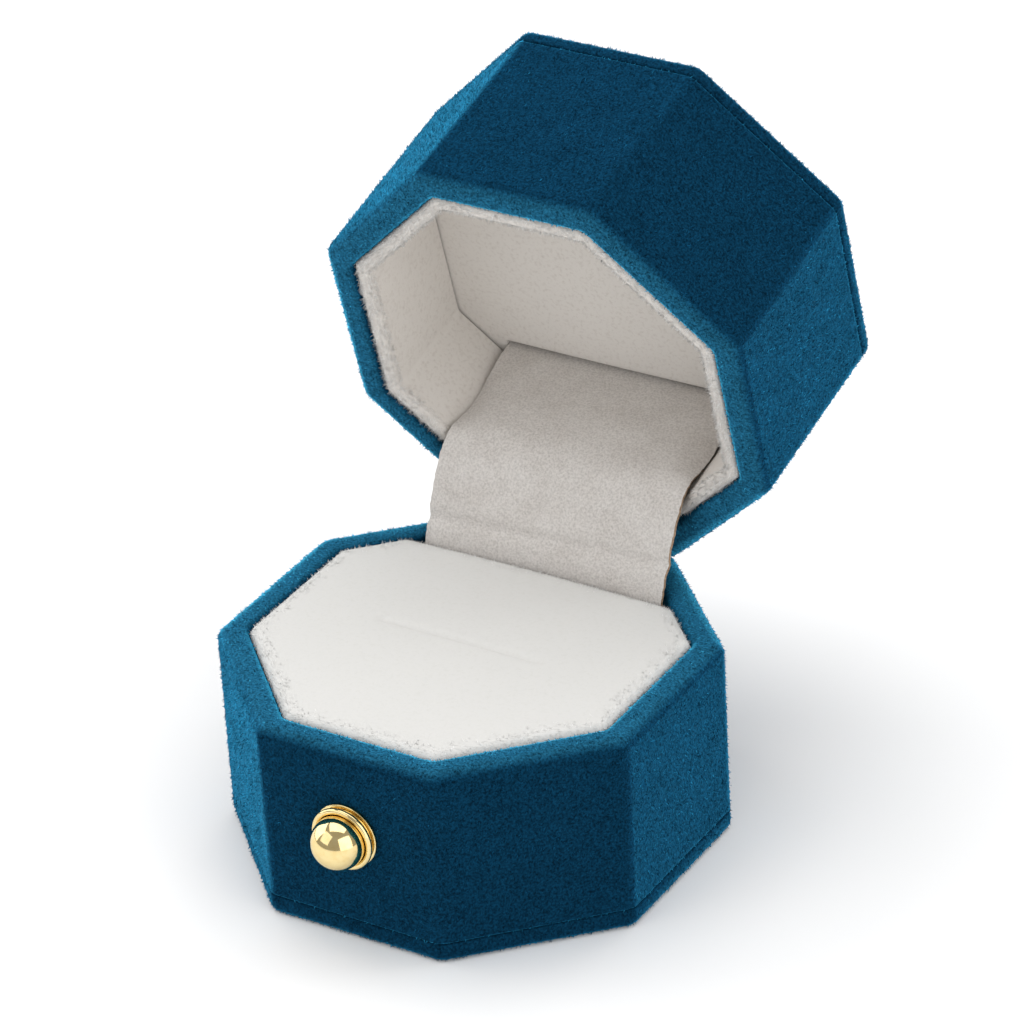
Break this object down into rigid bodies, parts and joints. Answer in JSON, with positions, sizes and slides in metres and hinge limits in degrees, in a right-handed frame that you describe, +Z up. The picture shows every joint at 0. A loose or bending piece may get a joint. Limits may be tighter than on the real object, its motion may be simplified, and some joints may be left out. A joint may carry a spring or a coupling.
{
  "type": "ring box",
  "caption": "Octagonal velvet-covered ring box with a hinged lid, a slotted plush ring pad, a suede hinge strap and a gilt ball stud on the front.",
  "frame": {"origin": "centre of the base's flat underside", "axes": "+Z up, -Y towards the front with the ball stud, +Y towards the hinge, +X to the right seen from the front; the lid is at rest fully open"},
  "size_m": [0.058, 0.0902, 0.0881],
  "materials": {
    "velvet": "petrol blue short-nap velvet",
    "shell_plastic": "moulded black ABS",
    "board": "grey-brown bookbinding board",
    "card": "tan card",
    "foam": "cut polyurethane foam",
    "plush": "white brushed plush",
    "suede": "warm grey microfibre suede",
    "gilt": "polished gold plate",
    "hinge_steel": "zinc-plated spring steel"
  },
  "bodies": {
    "base": {"base_shell": "shell_plastic", "base_velvet": "velvet", "bottom_board": "board", "bottom_velvet": "velvet", "insert_tray": "card", "foam_riser": "foam", "ring_pad_foam": "foam", "ring_pad_plush": "plush", "stud_ball": "gilt", "stud_collar": "gilt", "stud_retainer": "hinge_steel", "hinge_leaf_base": "hinge_steel", "hinge_pin": "hinge_steel", "hinge_spring": "hinge_steel", "base_rivet_1": "hinge_steel", "base_rivet_2": "hinge_steel", "hinge_strap": "suede"},
    "lid": {"lid_shell": "shell_plastic", "lid_velvet": "velvet", "top_board": "board", "top_velvet": "velvet", "liner_card": "card", "liner_plush": "plush", "ceiling_plush": "plush", "ceiling_board": "board", "lid_spacer": "foam", "hinge_leaf_lid": "hinge_steel", "lid_rivet_1": "hinge_steel", "lid_rivet_2": "hinge_steel"}
  },
  "joints": [
    {"name": "lid_hinge", "type": "hinge", "parent": "base", "child": "lid", "pos_m": [0, 0.027, 0.0268], "axis": [1, 0, 0], "range_deg": [0, 75.5], "deforming": ["hinge_strap"]}
  ]
}
